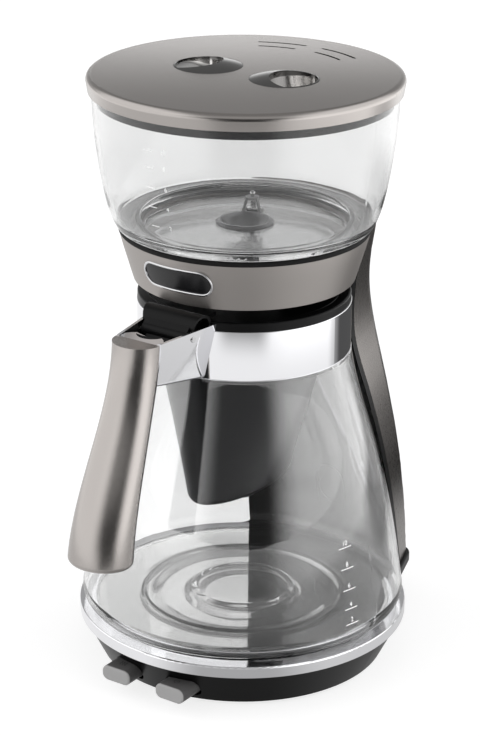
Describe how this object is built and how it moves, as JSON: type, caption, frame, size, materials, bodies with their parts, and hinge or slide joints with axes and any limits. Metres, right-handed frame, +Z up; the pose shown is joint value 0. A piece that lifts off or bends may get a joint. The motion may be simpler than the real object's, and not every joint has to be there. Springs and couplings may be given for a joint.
{
  "type": "filter coffee maker",
  "caption": "Drip filter coffee maker with a glass jug on a round base, a rear column carrying a collar and a glass water tank, and two push keys at the front.",
  "frame": {"origin": "middle of the whole machine seen from above, on the plane its feet stand on", "axes": "+Z up; -Y towards the user, where the jug handle and keys are; +X to the user's right"},
  "size_m": [0.205, 0.293, 0.3728],
  "materials": {
    "satin_metal": "satin titanium-coloured lacquer over steel",
    "chrome": "polished",
    "steel": "bright",
    "spring_steel": "drawn",
    "tank_glass": "clear",
    "jug_glass": "clear",
    "black_plastic": "semi-gloss",
    "smoky_plastic": "smoky",
    "grey_plastic": "fine matt",
    "silver_plastic": "satin silver",
    "rubber": "matt",
    "cast_aluminium": "as extruded",
    "thermal_parts": "moulded",
    "circuit_board": "lacquered",
    "silicone": "milky"
  },
  "bodies": {
    "base": {"base_housing": "black_plastic", "base_cover": "black_plastic", "base_screws": "spring_steel", "feet": "rubber", "base_trim_ring": "chrome", "hotplate": "steel", "heater": "cast_aluminium", "thermostat": "thermal_parts", "thermal_fuse": "thermal_parts", "cord_gland": "black_plastic", "switch_board": "circuit_board", "column_shell": "satin_metal", "column_front_panel": "black_plastic", "feed_tube": "silicone", "riser_tube": "silicone", "check_valve": "silicone", "collar_shell": "satin_metal", "collar_pan": "black_plastic", "collar_deck": "silver_plastic", "shower_head": "silver_plastic", "valve_seat": "silver_plastic", "tank_gasket": "rubber", "button_spring_left": "spring_steel", "button_spring_right": "spring_steel", "micro_switch_left": "thermal_parts", "micro_switch_right": "thermal_parts"},
    "tank": {"water_tank": "tank_glass", "sump_cup": "smoky_plastic", "valve_guide": "grey_plastic", "valve_spring": "spring_steel"},
    "tank_lid": {"lid_cover": "satin_metal", "lid_liner": "black_plastic", "lid_grip_left": "satin_metal", "lid_grip_right": "satin_metal"},
    "valve": {"valve_stem": "steel", "valve_seal": "rubber"},
    "jug": {"jug_glass": "jug_glass", "jug_rim": "black_plastic", "neck_band": "chrome", "handle_bracket": "chrome", "bracket_liner": "black_plastic", "handle_shell": "satin_metal", "handle_back": "black_plastic", "hinge_pin": "steel", "filter_holder": "smoky_plastic", "drip_spring": "spring_steel"},
    "jug_lid": {"jug_lid": "black_plastic"},
    "drip_stop": {"drip_stop": "grey_plastic"},
    "button_left": {"button_left": "grey_plastic"},
    "button_right": {"button_right": "grey_plastic"}
  },
  "joints": [
    {"name": "lid_lift", "type": "slide", "parent": "tank", "child": "tank_lid", "axis": [0, 0, 1], "range_m": [0, 0.1]},
    {"name": "tank_lift", "type": "slide", "parent": "base", "child": "tank", "axis": [0, 0, 1], "range_m": [0, 0.15]},
    {"name": "tank_valve", "type": "slide", "parent": "tank", "child": "valve", "axis": [0, 0, 1], "range_m": [0, 0.003], "stiffness_N_per_m": 120, "springref_m": -0.002, "deforming": ["valve_spring"]},
    {"name": "jug_slide", "type": "slide", "parent": "base", "child": "jug", "axis": [0, -1, 0], "range_m": [0, 0.25]},
    {"name": "jug_lid_hinge", "type": "hinge", "parent": "jug", "child": "jug_lid", "pos_m": [0, -0.06377, 0.231], "axis": [1, 0, 0], "range_deg": [0, 2.5]},
    {"name": "drip_stop_lift", "type": "slide", "parent": "jug", "child": "drip_stop", "axis": [0, 0, 1], "range_m": [0, 0.0025], "stiffness_N_per_m": 150, "springref_m": -0.002, "deforming": ["drip_spring"]},
    {"name": "button_left_press", "type": "slide", "parent": "base", "child": "button_left", "axis": [0, 0, -1], "range_m": [0, 0.0018], "stiffness_N_per_m": 800, "springref_m": -0.001, "deforming": ["button_spring_left"]},
    {"name": "button_right_press", "type": "slide", "parent": "base", "child": "button_right", "axis": [0, 0, -1], "range_m": [0, 0.0018], "stiffness_N_per_m": 800, "springref_m": -0.001, "deforming": ["button_spring_right"]}
  ]
}
